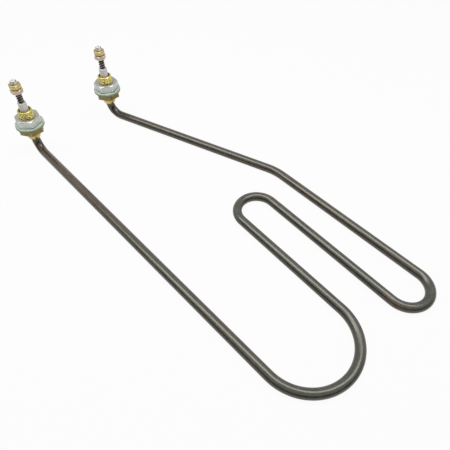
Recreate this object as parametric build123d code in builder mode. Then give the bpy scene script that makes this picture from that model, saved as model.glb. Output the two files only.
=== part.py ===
# Tubular heating element: one long sheathed heater bent into a flat serpentine of three loops,
# with both ends turned up into threaded brass fittings that carry the electric terminals.
# Millimetres, +Z up. The loops lie flat on z = 0 and the origin is the middle of the footprint.
# The legs run along Y, loop 1 is at the front (-Y) and the terminals are at the back (+Y).
import math
import os

from build123d import *

# Driving dimensions of the sheathed tube
tube_diameter = 8.5
tube_wall = 0.8
elbow_radius = 13.5  # upright bend between a leg and its terminal
riser = 0.5  # straight tube between the elbow and the fitting

# Driving dimensions of the serpentine, followed from the left terminal to the right one
leg_1_length = 317.0
loop_1_radius = 40.0
loop_1_turn = 177.0  # degrees, towards +X
leg_2_length = 116.5
loop_2_radius = 18.5
loop_2_turn = 180.0  # degrees, back towards the front
leg_3_length = 137.0
loop_3_radius = 19.0
loop_3_turn = 182.0  # degrees, towards +X
dogleg_radius = 51.0
dogleg_turn = 20.0  # degrees, from leg 4 in towards the right terminal
terminal_spacing = 90.5

# Driving dimensions of the threaded fitting
collar_foot_diameter = 11.4
collar_diameter = 14.0
collar_height = 8.0
collar_taper_height = 3.5
head_across_flats = 22.0
head_height = 6.0
barrel_diameter = 14.0
barrel_pitch = 1.5
barrel_exposed = 7.5  # thread standing out of the lock nut
thread_chamfer = 0.8
thread_relief_depth = 0.9
thread_relief_height = 1.4
recess_diameter = 11.0
recess_depth = 3.0
hex_chamfer_angle = 30.0  # degrees, on the corners of every hexagon

# Driving dimensions of the gasket and the lock nut
gasket_diameter = 28.0
gasket_thickness = 3.0
gasket_bevel = 0.3
lock_nut_across_flats = 22.0
lock_nut_height = 8.0

# Driving dimensions of the terminal
insulator_diameter = 8.2
insulator_exposed = 8.0
insulator_bevel = 0.5
spigot_length = 4.0
stud_diameter = 6.0
stud_pitch = 1.0
stud_exposed = 10.5  # bare thread between the insulator and the lower nut
stud_end = 3.5  # thread standing out of the upper nut
stud_chamfer = 0.8
nut_across_flats = 10.0
lower_nut_height = 4.5
upper_nut_height = 5.0
stud_socket_depth = 6.0  # blind bore in the stud's foot that takes the cold pin
pin_diameter = 2.8
pin_reach = 45.0  # cold pin along the leg, past the elbow
seal_length = 4.0

# How far each hexagon is screwed round, in degrees from a corner on the +X side
head_turns = {"left": 4.0, "right": 3.0}
lock_nut_turns = {"left": 20.0, "right": 32.0}
lower_nut_turns = {"left": 35.0, "right": 45.0}
upper_nut_turns = {"left": 22.0, "right": 8.0}

# Driving dimensions of the resistance coil
coil_wall = 0.4
coil_grip = 10.0  # length of coil that is pushed over the end of each cold pin

# Clearances between one piece and the next, on the radius. A thread is drawn plain: at its
# nominal diameter where it stands free, and at its pitch diameter where something sits on it.
pitch_line_depth = 0.3248  # depth of the pitch line under the crest, in pitches
thread_clearance = 0.03
thread_lead = 0.3  # how far a thinner stretch runs on past what sits on it
fit_clearance = 0.03

tube_radius = tube_diameter / 2
tube_bore = tube_radius - tube_wall
barrel_radius = barrel_diameter / 2
barrel_seat_radius = barrel_radius - pitch_line_depth * barrel_pitch
stud_radius = stud_diameter / 2
stud_seat_radius = stud_radius - pitch_line_depth * stud_pitch
pin_radius = pin_diameter / 2
coil_bore = pin_radius + fit_clearance
coil_radius = coil_bore + coil_wall

# Heights along a terminal, from the foot of the collar
head_foot = collar_height
head_top = head_foot + head_height
gasket_top = head_top + gasket_thickness
lock_nut_top = gasket_top + lock_nut_height
barrel_top = lock_nut_top + barrel_exposed
tube_end = barrel_top - recess_depth
insulator_top = barrel_top + insulator_exposed
lower_nut_foot = insulator_top + stud_exposed
upper_nut_foot = lower_nut_foot + lower_nut_height
upper_nut_top = upper_nut_foot + upper_nut_height
stud_top = upper_nut_top + stud_end
pin_top = insulator_top + stud_socket_depth
seal_top = tube_end - spigot_length
filling_top = seal_top - seal_length

leg_level = tube_radius
collar_foot = leg_level + elbow_radius + riser


def heading(angle):
    return Vector(math.cos(math.radians(angle)), math.sin(math.radians(angle)), 0)


def after_turn(place, angle, radius, turn):
    """Place and heading angle after a level arc; a positive turn is anticlockwise."""
    side = math.copysign(90, turn)
    centre = place + heading(angle + side) * radius
    return centre - heading(angle + turn + side) * radius, angle + turn


# The joints of the serpentine, each with its heading, laid out from the left terminal.
# Legs 4 and 5 are as long as they must be to end at the right terminal.
left_axis = Vector(0, 0, leg_level)
right_axis = left_axis + Vector(terminal_spacing, 0, 0)
angle_1 = -90.0
leg_1_start = left_axis + heading(angle_1) * elbow_radius
leg_1_end = leg_1_start + heading(angle_1) * leg_1_length
leg_2_start, angle_2 = after_turn(leg_1_end, angle_1, loop_1_radius, loop_1_turn)
leg_2_end = leg_2_start + heading(angle_2) * leg_2_length
leg_3_start, angle_3 = after_turn(leg_2_end, angle_2, loop_2_radius, -loop_2_turn)
leg_3_end = leg_3_start + heading(angle_3) * leg_3_length
leg_4_start, angle_4 = after_turn(leg_3_end, angle_3, loop_3_radius, loop_3_turn)
dogleg_end, angle_5 = after_turn(leg_4_start, angle_4, dogleg_radius, dogleg_turn)
leg_5_end = right_axis - heading(angle_5) * elbow_radius
missing = leg_5_end - dogleg_end
spread = math.sin(math.radians(dogleg_turn))
leg_4_length = missing.cross(heading(angle_5)).Z / spread
leg_5_length = heading(angle_4).cross(missing).Z / spread
leg_4_end = leg_4_start + heading(angle_4) * leg_4_length
leg_5_start = leg_5_end - heading(angle_5) * leg_5_length

bench_joints = [
    (leg_1_start, angle_1),
    (leg_1_end, angle_1),
    (leg_2_start, angle_2),
    (leg_2_end, angle_2),
    (leg_3_start, angle_3),
    (leg_3_end, angle_3),
    (leg_4_start, angle_4),
    (leg_4_end, angle_4),
    (leg_5_start, angle_5),
    (leg_5_end, angle_5),
]


def serpentine(joints):
    """Level centre line: a leg from each even joint and an arc from each odd one."""
    with BuildLine() as line:
        for number, (start, end) in enumerate(zip(joints, joints[1:])):
            if number % 2 == 0:
                Line(start[0], end[0])
            else:
                TangentArc(start[0], end[0], tangent=heading(start[1]))
    return line


# The footprint is the box round the tube and both gaskets; its middle becomes the origin
bench_box = serpentine(bench_joints).line.bounding_box()
gasket_radius = gasket_diameter / 2
x_low = min(bench_box.min.X - tube_radius, left_axis.X - gasket_radius)
x_high = max(bench_box.max.X + tube_radius, right_axis.X + gasket_radius)
y_low = bench_box.min.Y - tube_radius
y_high = max(bench_box.max.Y + tube_radius, gasket_radius)
to_origin = Vector(-(x_low + x_high) / 2, -(y_low + y_high) / 2, 0)
joints = [(place + to_origin, angle) for place, angle in bench_joints]


def terminal_seat(axis_place):
    """Plane at the foot of a fitting's collar, with its normal up the terminal."""
    return Plane(axis_place + to_origin + Vector(0, 0, collar_foot - leg_level))


terminals = {"left": terminal_seat(left_axis), "right": terminal_seat(right_axis)}
leg_headings = {"left": heading(angle_1), "right": heading(angle_5 + 180)}


def whole_run(top):
    """Centre line from a height above one collar's foot, through the loops, to the other."""
    left, right = terminals["left"], terminals["right"]
    with BuildLine() as line:
        Line(left.offset(top).origin, left.offset(-riser).origin)
        TangentArc(left.offset(-riser).origin, joints[0][0], tangent=(0, 0, -1))
        add(serpentine(joints).line)
        TangentArc(joints[-1][0], right.offset(-riser).origin, tangent=leg_headings["right"] * -1)
        Line(right.offset(-riser).origin, right.offset(top).origin)
    return line


def pin_run(side):
    """Centre line of a cold pin, from its stud's socket round the elbow into the leg."""
    seat, away = terminals[side], leg_headings[side]
    elbow_end = seat.offset(-riser - elbow_radius).origin + away * elbow_radius
    with BuildLine() as line:
        Line(seat.offset(pin_top).origin, seat.offset(-riser).origin)
        TangentArc(seat.offset(-riser).origin, elbow_end, tangent=(0, 0, -1))
        Line(elbow_end, elbow_end + away * pin_reach)
    return line


def coil_run():
    """Centre line of the resistance coil, between points on the two cold pins."""
    start = pin_reach - coil_grip
    trimmed = list(joints)
    trimmed[0] = (joints[0][0] + leg_headings["left"] * start, angle_1)
    trimmed[-1] = (joints[-1][0] + leg_headings["right"] * start, angle_5)
    return serpentine(trimmed)


def start_plane(line):
    return Plane(origin=line.line @ 0, z_dir=line.line % 0)


def section(seat):
    """Upright plane through a terminal's axis: x is the radius, y the height."""
    return Plane(origin=seat.origin, x_dir=seat.x_dir, z_dir=seat.y_dir * -1)


def corner_cut(across_flats):
    """Height that the corner chamfer takes off a hexagon's corner."""
    corner = across_flats / math.sqrt(3)
    return (corner - across_flats / 2) * math.tan(math.radians(hex_chamfer_angle))


def hexagon(seat, foot, across_flats, height, foot_chamfered=True):
    """Hexagonal prism with turned chamfers on its upper corners, and on its lower ones or not."""
    corner = across_flats / math.sqrt(3)
    cut = corner_cut(across_flats)
    foot_edge = [(across_flats / 2, foot), (corner, foot + cut)]
    if not foot_chamfered:
        foot_edge = [(corner, foot)]
    with BuildPart() as prism:
        with BuildSketch(seat.offset(foot)):
            RegularPolygon(across_flats / 2, 6, major_radius=False)
        extrude(amount=height)
        with BuildSketch(section(seat)):
            with BuildLine():
                Polyline(
                    (0, foot),
                    *foot_edge,
                    (corner, foot + height - cut),
                    (across_flats / 2, foot + height),
                    (0, foot + height),
                    close=True,
                )
            make_face()
        revolve(axis=Axis(seat.origin, seat.z_dir), mode=Mode.INTERSECT)
    return prism.part


def hexagon_nut(seat, foot, across_flats, height, seat_radius):
    """Hexagon nut on a thread that is drawn with the given radius under it."""
    prism = hexagon(seat, foot, across_flats, height)
    with BuildPart() as nut:
        add(prism)
        with BuildSketch(seat.offset(foot)):
            Circle(seat_radius + thread_clearance)
        extrude(amount=height, mode=Mode.SUBTRACT)
    return nut


os.makedirs("parts", exist_ok=True)

# Sheath: one steel tube from the recess of one fitting to that of the other
with BuildPart() as sheath:
    sheath_run = whole_run(tube_end)
    with BuildSketch(start_plane(sheath_run)):
        Circle(tube_radius)
        Circle(tube_bore, mode=Mode.SUBTRACT)
    sweep(path=sheath_run.line)
sheath.part.label = "sheath"
export_step(sheath.part, "parts/sheath.step")

# Resistance coil: its wound wire is drawn as the thin tube that it fills
with BuildPart() as resistance_coil:
    wire_run = coil_run()
    with BuildSketch(start_plane(wire_run)):
        Circle(coil_radius)
        Circle(coil_bore, mode=Mode.SUBTRACT)
    sweep(path=wire_run.line)
resistance_coil.part.label = "resistance_coil"
export_step(resistance_coil.part, "parts/resistance_coil.step")

# Insulation: pressed magnesia that fills the sheath round the coil and the cold pins
with BuildPart() as insulation:
    filling_run = whole_run(filling_top)
    with BuildSketch(start_plane(filling_run)):
        Circle(tube_bore - fit_clearance)
    sweep(path=filling_run.line)
    with BuildSketch(start_plane(wire_run)):
        Circle(coil_radius + fit_clearance)
    sweep(path=wire_run.line, mode=Mode.SUBTRACT)
    for side in terminals:
        bore_run = pin_run(side)
        with BuildSketch(start_plane(bore_run)):
            Circle(pin_radius + fit_clearance)
        sweep(path=bore_run.line, mode=Mode.SUBTRACT)
insulation.part.label = "insulation"
export_step(insulation.part, "parts/insulation.step")

for side, seat in terminals.items():
    upright = Axis(seat.origin, seat.z_dir)

    # Fitting: turned brass collar, hexagon head and threaded barrel round the end of the tube
    head_seat = seat.rotated((0, 0, head_turns[side]))
    head = hexagon(head_seat, head_foot, head_across_flats, head_height, foot_chamfered=False)
    with BuildPart() as fitting:
        add(head)
        with BuildSketch(section(seat)):
            with BuildLine():
                Polyline(
                    (0, 0),
                    (collar_foot_diameter / 2, 0),
                    (collar_diameter / 2, collar_taper_height),
                    (collar_diameter / 2, head_foot),
                    (0, head_foot),
                    close=True,
                )
            make_face()
        revolve(axis=upright)
        relief_radius = barrel_radius - thread_relief_depth
        relief_top = head_top + thread_relief_height
        relief_rise = barrel_seat_radius - relief_radius
        with BuildSketch(section(seat)):
            with BuildLine():
                Polyline(
                    (0, head_top),
                    (relief_radius, head_top),
                    (relief_radius, relief_top - relief_rise),
                    (barrel_seat_radius, relief_top),
                    (barrel_seat_radius, lock_nut_top + thread_lead),
                    (barrel_radius, lock_nut_top + thread_lead),
                    (barrel_radius, barrel_top - thread_chamfer),
                    (barrel_radius - thread_chamfer, barrel_top),
                    (0, barrel_top),
                    close=True,
                )
            make_face()
        revolve(axis=upright)
        with BuildSketch(seat.offset(barrel_top)):
            Circle(recess_diameter / 2)
        extrude(amount=-recess_depth, mode=Mode.SUBTRACT)
        with BuildSketch(seat):
            Circle(tube_radius + fit_clearance)
        extrude(amount=tube_end, mode=Mode.SUBTRACT)
    fitting.part.label = f"{side}_fitting"
    export_step(fitting.part, f"parts/{side}_fitting.step")

    # Gasket: flat fibre ring between the head and the wall that the fitting passes through
    with BuildPart() as gasket:
        with BuildSketch(seat.offset(head_top)):
            Circle(gasket_radius)
            Circle(barrel_radius, mode=Mode.SUBTRACT)
        extrude(amount=gasket_thickness)
        rims = gasket.edges().filter_by(GeomType.CIRCLE).sort_by(SortBy.RADIUS)[-2:]
        chamfer(rims, length=gasket_bevel)
    gasket.part.label = f"{side}_gasket"
    export_step(gasket.part, f"parts/{side}_gasket.step")

    # Lock nut: plated hexagon nut that clamps the wall against the gasket
    lock_nut_seat = seat.rotated((0, 0, lock_nut_turns[side]))
    lock_nut = hexagon_nut(
        lock_nut_seat, gasket_top, lock_nut_across_flats, lock_nut_height, barrel_seat_radius
    )
    lock_nut.part.label = f"{side}_lock_nut"
    export_step(lock_nut.part, f"parts/{side}_lock_nut.step")

    # Insulator: ceramic bead on the end of the tube, with a spigot down its bore
    spigot_radius = tube_bore - fit_clearance
    with BuildPart() as insulator:
        with BuildSketch(section(seat)):
            with BuildLine():
                Polyline(
                    (pin_radius + fit_clearance, seal_top),
                    (spigot_radius, seal_top),
                    (spigot_radius, tube_end),
                    (insulator_diameter / 2, tube_end),
                    (insulator_diameter / 2, insulator_top - insulator_bevel),
                    (insulator_diameter / 2 - insulator_bevel, insulator_top),
                    (pin_radius + fit_clearance, insulator_top),
                    close=True,
                )
            make_face()
        revolve(axis=upright)
    insulator.part.label = f"{side}_insulator"
    export_step(insulator.part, f"parts/{side}_insulator.step")

    # Terminal stud: threaded steel end, seated on the insulator and bored for the cold pin
    with BuildPart() as terminal_stud:
        with BuildSketch(section(seat)):
            with BuildLine():
                Polyline(
                    (pin_radius + fit_clearance, insulator_top),
                    (stud_radius, insulator_top),
                    (stud_radius, lower_nut_foot - thread_lead),
                    (stud_seat_radius, lower_nut_foot - thread_lead),
                    (stud_seat_radius, upper_nut_top + thread_lead),
                    (stud_radius, upper_nut_top + thread_lead),
                    (stud_radius, stud_top - stud_chamfer),
                    (stud_radius - stud_chamfer, stud_top),
                    (0, stud_top),
                    (0, pin_top),
                    (pin_radius + fit_clearance, pin_top),
                    close=True,
                )
            make_face()
        revolve(axis=upright)
    terminal_stud.part.label = f"{side}_terminal_stud"
    export_step(terminal_stud.part, f"parts/{side}_terminal_stud.step")

    # Cold pin: plain steel rod from the stud's socket down the tube to the coil
    with BuildPart() as cold_pin:
        cold_run = pin_run(side)
        with BuildSketch(start_plane(cold_run)):
            Circle(pin_radius)
        sweep(path=cold_run.line)
    cold_pin.part.label = f"{side}_cold_pin"
    export_step(cold_pin.part, f"parts/{side}_cold_pin.step")

    # Terminal nuts: the lower one locks the stud, the upper one clamps the wire's tag
    for name, foot, height, turns in (
        ("lower_nut", lower_nut_foot, lower_nut_height, lower_nut_turns),
        ("upper_nut", upper_nut_foot, upper_nut_height, upper_nut_turns),
    ):
        nut_seat = seat.rotated((0, 0, turns[side]))
        terminal_nut = hexagon_nut(nut_seat, foot, nut_across_flats, height, stud_seat_radius)
        terminal_nut.part.label = f"{side}_{name}"
        export_step(terminal_nut.part, f"parts/{side}_{name}.step")

    # End seal: moisture plug in the mouth of the tube, under the insulator's spigot
    with BuildPart() as end_seal:
        with BuildSketch(seat.offset(filling_top)):
            Circle(tube_bore - fit_clearance)
            Circle(pin_radius + fit_clearance, mode=Mode.SUBTRACT)
        extrude(amount=seal_length)
    end_seal.part.label = f"{side}_end_seal"
    export_step(end_seal.part, f"parts/{side}_end_seal.step")
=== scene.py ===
"""Finished surfaces, materials and studio for the tubular heating element.

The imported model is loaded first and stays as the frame. Each visible piece is a surface worked
out as whole arrays: a shape is a function of two parameters on a grid, the first one running
along the piece and the second one round it. Lengths are in metres and +Z is up.
"""
import math
from types import SimpleNamespace

import bpy
import numpy as np
from bpy.props import FloatProperty, FloatVectorProperty, PointerProperty
from mathutils import Matrix, Vector


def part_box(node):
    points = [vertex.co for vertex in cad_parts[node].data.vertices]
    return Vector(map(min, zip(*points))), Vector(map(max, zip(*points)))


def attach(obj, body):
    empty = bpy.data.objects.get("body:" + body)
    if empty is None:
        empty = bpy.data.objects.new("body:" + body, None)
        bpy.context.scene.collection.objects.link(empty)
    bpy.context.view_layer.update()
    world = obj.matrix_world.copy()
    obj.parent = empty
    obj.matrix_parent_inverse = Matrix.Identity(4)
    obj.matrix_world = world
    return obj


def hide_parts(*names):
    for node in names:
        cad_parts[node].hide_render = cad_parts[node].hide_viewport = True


bl_info = {
    "name": "Tubular Heating Element",
    "version": (1, 0, 0),
    "blender": (4, 5, 0),
    "location": "3D View > Sidebar > Heating Element",
    "description": "Builds the surfaces, materials and studio of a tubular heating element",
    "category": "Add Mesh",
}

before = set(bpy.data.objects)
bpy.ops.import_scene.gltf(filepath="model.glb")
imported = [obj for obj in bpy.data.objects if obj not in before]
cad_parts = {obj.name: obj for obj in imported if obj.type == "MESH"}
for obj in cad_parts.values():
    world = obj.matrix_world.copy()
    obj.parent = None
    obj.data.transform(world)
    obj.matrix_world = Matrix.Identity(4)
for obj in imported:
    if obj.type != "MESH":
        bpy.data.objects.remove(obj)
SIDES = ("left", "right")
AXES = {side: sum(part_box(f"{side}_gasket"), Vector()) / 2 for side in SIDES}
COLLAR_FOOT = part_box("left_fitting")[0].z

UP = np.array([0.0, 0.0, 1.0])
EASE = 0.0001  # usual rounding of a machined edge
PLAY = 0.00003  # clearance between a bore and what it holds
PITCH_LINE = 0.3248  # depth of a thread's pitch line, as a share of its pitch
NUT_PITCH = 0.001  # pitch of the stud's thread in and above its nuts
END_CHAMFER = 0.0008  # chamfer at the end of a thread
FINE_TURN = math.radians(2.5)  # step along a loop of the tube
TOOL_MARK = 0.00002  # depth of turning marks and of drawn lines


# Sizes and colours that a user would change

def length(name, description, millimetres):
    return FloatProperty(
        name=name, description=description, default=millimetres / 1000, unit="LENGTH", precision=5
    )


def angle(name, description, degrees):
    return FloatProperty(
        name=name, description=description, default=math.radians(degrees), unit="ROTATION"
    )


def colour(name, description, *red_green_blue):
    return FloatVectorProperty(
        name=name, description=description, subtype="COLOR", size=3, min=0, max=1,
        default=red_green_blue,
    )


class HeaterTube(bpy.types.PropertyGroup):
    """Sheathed tube and its serpentine"""

    tube_diameter: length("Diameter", "Outside diameter of the sheath", 8.5)
    tube_wall: length("Wall", "Wall thickness of the sheath", 0.8)
    elbow_radius: length("Elbow radius", "Upright bend between a leg and its terminal", 13.5)
    leg_1_length: length("Leg 1", "Length of the leg from the left terminal", 317)
    loop_1_radius: length("Loop 1 radius", "Radius of the large front loop", 40)
    loop_1_turn: angle("Loop 1 turn", "How far the large front loop turns", 177)
    leg_2_length: length("Leg 2", "Length of the leg after loop 1", 116.5)
    loop_2_radius: length("Loop 2 radius", "Radius of the middle loop", 18.5)
    loop_2_turn: angle("Loop 2 turn", "How far the middle loop turns back", 180)
    leg_3_length: length("Leg 3", "Length of the leg after loop 2", 137)
    loop_3_radius: length("Loop 3 radius", "Radius of the right front loop", 19)
    loop_3_turn: angle("Loop 3 turn", "How far the right front loop turns", 182)
    dogleg_radius: length("Dogleg radius", "Radius of the slight bend in the last leg", 51)
    dogleg_turn: angle("Dogleg turn", "How far the last leg leans in", 20)


class HeaterFitting(bpy.types.PropertyGroup):
    """Threaded brass fitting, its gasket and its lock nut"""

    collar_foot_diameter: length("Collar foot", "Diameter of the collar at its foot", 11.4)
    collar_diameter: length("Collar", "Diameter of the collar", 14)
    collar_height: length("Collar height", "Height of the collar under the head", 8)
    collar_taper_height: length("Collar taper", "Height of the taper at the collar's foot", 3.5)
    head_across_flats: length("Head flats", "Hexagon head across its flats", 22)
    head_height: length("Head height", "Height of the hexagon head", 6)
    head_turn_left: angle("Left head turn", "Corner of the left head from +X", 4)
    head_turn_right: angle("Right head turn", "Corner of the right head from +X", 3)
    barrel_diameter: length("Barrel", "Nominal diameter of the barrel's thread", 14)
    barrel_pitch: length("Barrel pitch", "Pitch of the barrel's thread", 1.5)
    barrel_exposed: length("Barrel exposed", "Thread standing out of the lock nut", 7.5)
    recess_diameter: length("Recess", "Diameter of the recess round the insulator", 11)
    recess_depth: length("Recess depth", "Depth of the recess round the insulator", 3)
    gasket_diameter: length("Gasket", "Outside diameter of the gasket", 28)
    gasket_thickness: length("Gasket thickness", "Thickness of the gasket", 3)
    lock_nut_across_flats: length("Lock nut flats", "Lock nut across its flats", 22)
    lock_nut_height: length("Lock nut height", "Height of the lock nut", 8)
    lock_nut_turn_left: angle("Left lock nut turn", "Corner of the left lock nut from +X", 20)
    lock_nut_turn_right: angle("Right lock nut turn", "Corner of the right lock nut from +X", 32)


class HeaterTerminal(bpy.types.PropertyGroup):
    """Ceramic insulator, stud and terminal nuts"""

    insulator_diameter: length("Insulator", "Diameter of the ceramic insulator", 8.2)
    insulator_exposed: length("Insulator exposed", "Ceramic standing out of the barrel", 8)
    spigot_length: length("Spigot", "Length of the insulator's spigot in the tube", 4)
    stud_diameter: length("Stud", "Nominal diameter of the stud", 6)
    stud_pitch: length("Stud pitch", "Pitch of the stud's coarse notches", 2.5)
    stud_exposed: length("Stud exposed", "Thread between the insulator and the lower nut", 10.5)
    stud_end: length("Stud end", "Thread standing out of the upper nut", 3.5)
    stud_socket_depth: length("Socket", "Depth of the bore for the cold pin", 6)
    pin_diameter: length("Cold pin", "Diameter of the cold pin", 2.8)
    nut_across_flats: length("Nut flats", "Terminal nuts across their flats", 10)
    lower_nut_height: length("Lower nut", "Height of the lower nut", 4.5)
    upper_nut_height: length("Upper nut", "Height of the upper nut", 5)
    lower_nut_turn_left: angle("Left lower turn", "Corner of the left lower nut from +X", 35)
    lower_nut_turn_right: angle("Right lower turn", "Corner of the right lower nut from +X", 45)
    upper_nut_turn_left: angle("Left upper turn", "Corner of the left upper nut from +X", 22)
    upper_nut_turn_right: angle("Right upper turn", "Corner of the right upper nut from +X", 8)


class HeaterFinish(bpy.types.PropertyGroup):
    """Colours of the finishes"""

    oxide_olive: colour("Oxide olive", "Main tone of the annealed sheath", 0.036, 0.034, 0.022)
    oxide_brown: colour("Oxide brown", "Brown heat tint of the sheath", 0.048, 0.031, 0.023)
    oxide_slate: colour("Oxide slate", "Cool heat tint of the sheath", 0.024, 0.031, 0.028)
    oxide_copper: colour("Oxide copper", "Copper-brown spots of the sheath", 0.110, 0.055, 0.028)
    collar_brass: colour("Collar brass", "Brass of the collars", 0.60, 0.42, 0.09)
    # The heads' dark brass is painted shade under the gaskets.
    shaded_head_brass: colour("Head brass", "Tarnished brass of the hexagon heads", 0.235, 0.19, 0.072)
    barrel_brass: colour("Barrel brass", "Bright brass of the threaded barrels", 0.71, 0.61, 0.14)
    # Tarnish in the hollows, which also carries painted shade there.
    tarnish_and_shade: colour("Tarnish", "Brown tarnish in the brass's hollows", 0.16, 0.115, 0.035)
    nut_brass: colour("Nut brass", "Brass of the upper terminal nuts", 0.72, 0.58, 0.25)
    zinc: colour("Zinc", "Plating of the lock nuts", 0.60, 0.63, 0.60)
    # The lock nuts' darker, warmer top is painted shade, tinted as a painted reflection of brass.
    shaded_zinc_top: colour("Zinc top", "Top face of the lock nuts", 0.375, 0.36, 0.32)
    zinc_warm: colour("Warm zinc", "Plating of the lower terminal nuts", 0.60, 0.50, 0.40)
    fibre: colour("Fibre", "Pressed fibre of the gaskets", 0.44, 0.52, 0.42)
    # The olive is real stain in the smears; at the gaskets' foot it is painted shade.
    fibre_stain_and_shade: colour("Fibre stain", "Olive stain at the foot of the gaskets", 0.27, 0.26, 0.14)
    ceramic: colour("Ceramic", "Fired ceramic of the insulators", 0.80, 0.78, 0.74)
    stud_dark: colour("Blackened steel", "Hollows of the studs' thread", 0.014, 0.010, 0.009)
    stud_worn: colour("Worn steel", "Crests of the studs' thread", 0.32, 0.26, 0.265)
    stud_side: colour("Plain steel", "Thread of the studs above the nuts", 0.70, 0.66, 0.56)
    # The studs' end face is turned steel, lightened further as a painted reflection.
    bright_end_reflection: colour("Bright steel", "Turned end face of the studs", 0.86, 0.85, 0.83)
    floor: colour("Floor", "Pale studio floor", 0.62, 0.62, 0.61)


class HeaterStudio(bpy.types.PropertyGroup):
    """Camera and lamp"""

    camera_azimuth: angle("Azimuth", "Where the camera stands, turned from -Y towards +X", -43.729)
    camera_elevation: angle("Elevation", "How far the camera stands above the floor", 50.097)
    camera_roll: angle("Roll", "Turn of the camera about its line of sight", 1.058)
    camera_distance: length("Distance", "From the camera to the point it looks at", 403.43)
    target_x: length("Target X", "Point on the floor that the camera looks at", 0.108)
    target_y: length("Target Y", "Point on the floor that the camera looks at", -24.157)
    focal_length: FloatProperty(
        name="Focal length", description="Focal length on a 36 mm sensor", default=35.438,
        unit="CAMERA",
    )
    strip_power: FloatProperty(
        name="Strip lamp", description="Power of the long softbox over the loops", default=6.5,
        unit="POWER",
    )
    room_shade: FloatProperty(
        name="Room shade", description="How dark the room behind the camera looks in reflections",
        default=1.0, min=0, max=1,
    )


# Meshes

def put_surface(name, places, marks, poles=None):
    """Mesh object from a grid of places, shape (rows, columns, 3).

    The columns always close on themselves. The rows close too, which makes a ring-shaped
    surface, unless two poles are given: then a fan to its pole closes each open end.
    Faces look outwards when the rows run up the outside and the columns run anticlockwise.
    marks names point attributes, each a grid of numbers or of vectors like the places.
    """
    rows, columns = places.shape[:2]
    index = np.arange(rows * columns).reshape(rows, columns)
    beside = np.roll(index, -1, axis=1)
    above, above_beside = (np.roll(grid, -1, axis=0) for grid in (index, beside))
    quads = np.stack([index, beside, above_beside, above], axis=-1)
    points = places.reshape(-1, 3)
    triangles = np.zeros((0, 3), int)
    if poles is not None:
        quads = quads[:-1]
        low, high = (np.full(columns, len(points) + number) for number in (0, 1))
        triangles = np.vstack([
            np.stack([low, beside[0], index[0]], axis=-1),
            np.stack([index[-1], beside[-1], high], axis=-1),
        ])
        points = np.vstack([points, poles])
    quads = quads.reshape(-1, 4)
    corners = np.concatenate([quads.ravel(), triangles.ravel()]).astype(np.int32)
    sizes = np.concatenate([np.full(len(quads), 4), np.full(len(triangles), 3)])
    starts = (np.cumsum(sizes) - sizes).astype(np.int32)

    mesh = bpy.data.meshes.new(name)
    mesh.vertices.add(len(points))
    mesh.vertices.foreach_set("co", points.astype(np.float32).ravel())
    mesh.loops.add(len(corners))
    mesh.loops.foreach_set("vertex_index", corners)
    mesh.polygons.add(len(sizes))
    mesh.polygons.foreach_set("loop_start", starts)
    mesh.polygons.foreach_set("use_smooth", np.ones(len(sizes), bool))
    for mark, grid in marks.items():
        kind, field = ("FLOAT", "value") if grid.ndim == 2 else ("FLOAT_VECTOR", "vector")
        flat = grid.reshape(rows * columns, -1)
        values = np.full((len(points), flat.shape[1]), flat[-1], np.float32)
        values[: rows * columns] = flat
        mesh.attributes.new(mark, kind, "POINT").data.foreach_set(field, values.ravel())
    mesh.update(calc_edges=True)
    mesh.validate()
    made = bpy.data.objects.new(name, mesh)
    bpy.context.scene.collection.objects.link(made)
    return made


def finish_piece(piece, material, slot, *nodes):
    """Gives a piece its material and lets it stand for its nodes on the only body."""
    piece.data.materials.append(material)
    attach(piece, "root")
    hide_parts(*nodes)


def put_turned(side, name, node, rows, angles, material, slot, pole_heights=None):
    """One side's piece round its upright axis, from rows of (radius, height, grime, wear).

    A point lies at the axis + radius * (cos angle, sin angle), at that height from the collar's
    foot. Two pole heights close the piece there; without them it is a ring. Grime is dirt with
    painted shade in the hollows.
    """
    axis = AXES[side]
    x = axis.x + rows[..., 0] * np.cos(angles)
    y = axis.y + rows[..., 0] * np.sin(angles)
    places = np.stack([x, y, COLLAR_FOOT + rows[..., 1]], axis=-1)
    poles = pole_heights and [(axis.x, axis.y, COLLAR_FOOT + height) for height in pole_heights]
    marks = {"grime_and_shade": rows[..., 2], "wear": rows[..., 3]}
    piece = put_surface(f"{side}_{name}", places, marks, poles)
    finish_piece(piece, material, slot, f"{side}_{node}")


def round_angles(count):
    """Evenly spaced angles once round."""
    return np.arange(count) * (2 * math.pi / count)


def hexagon_angles(turn):
    """Angles once round a hexagon, close together at its corners.

    Each sixth runs from the middle of one flat to the next and passes the corner in the middle;
    turn is the angle of one corner.
    """
    near_corner = 3.2
    flat = np.linspace(-30, -near_corner, 10, endpoint=False)
    corner = np.linspace(-near_corner, near_corner, 7)
    sixth = np.concatenate([flat, corner, -flat[:0:-1]])
    return np.radians((np.arange(6)[:, None] * 60 + sixth).ravel()) + turn


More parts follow.
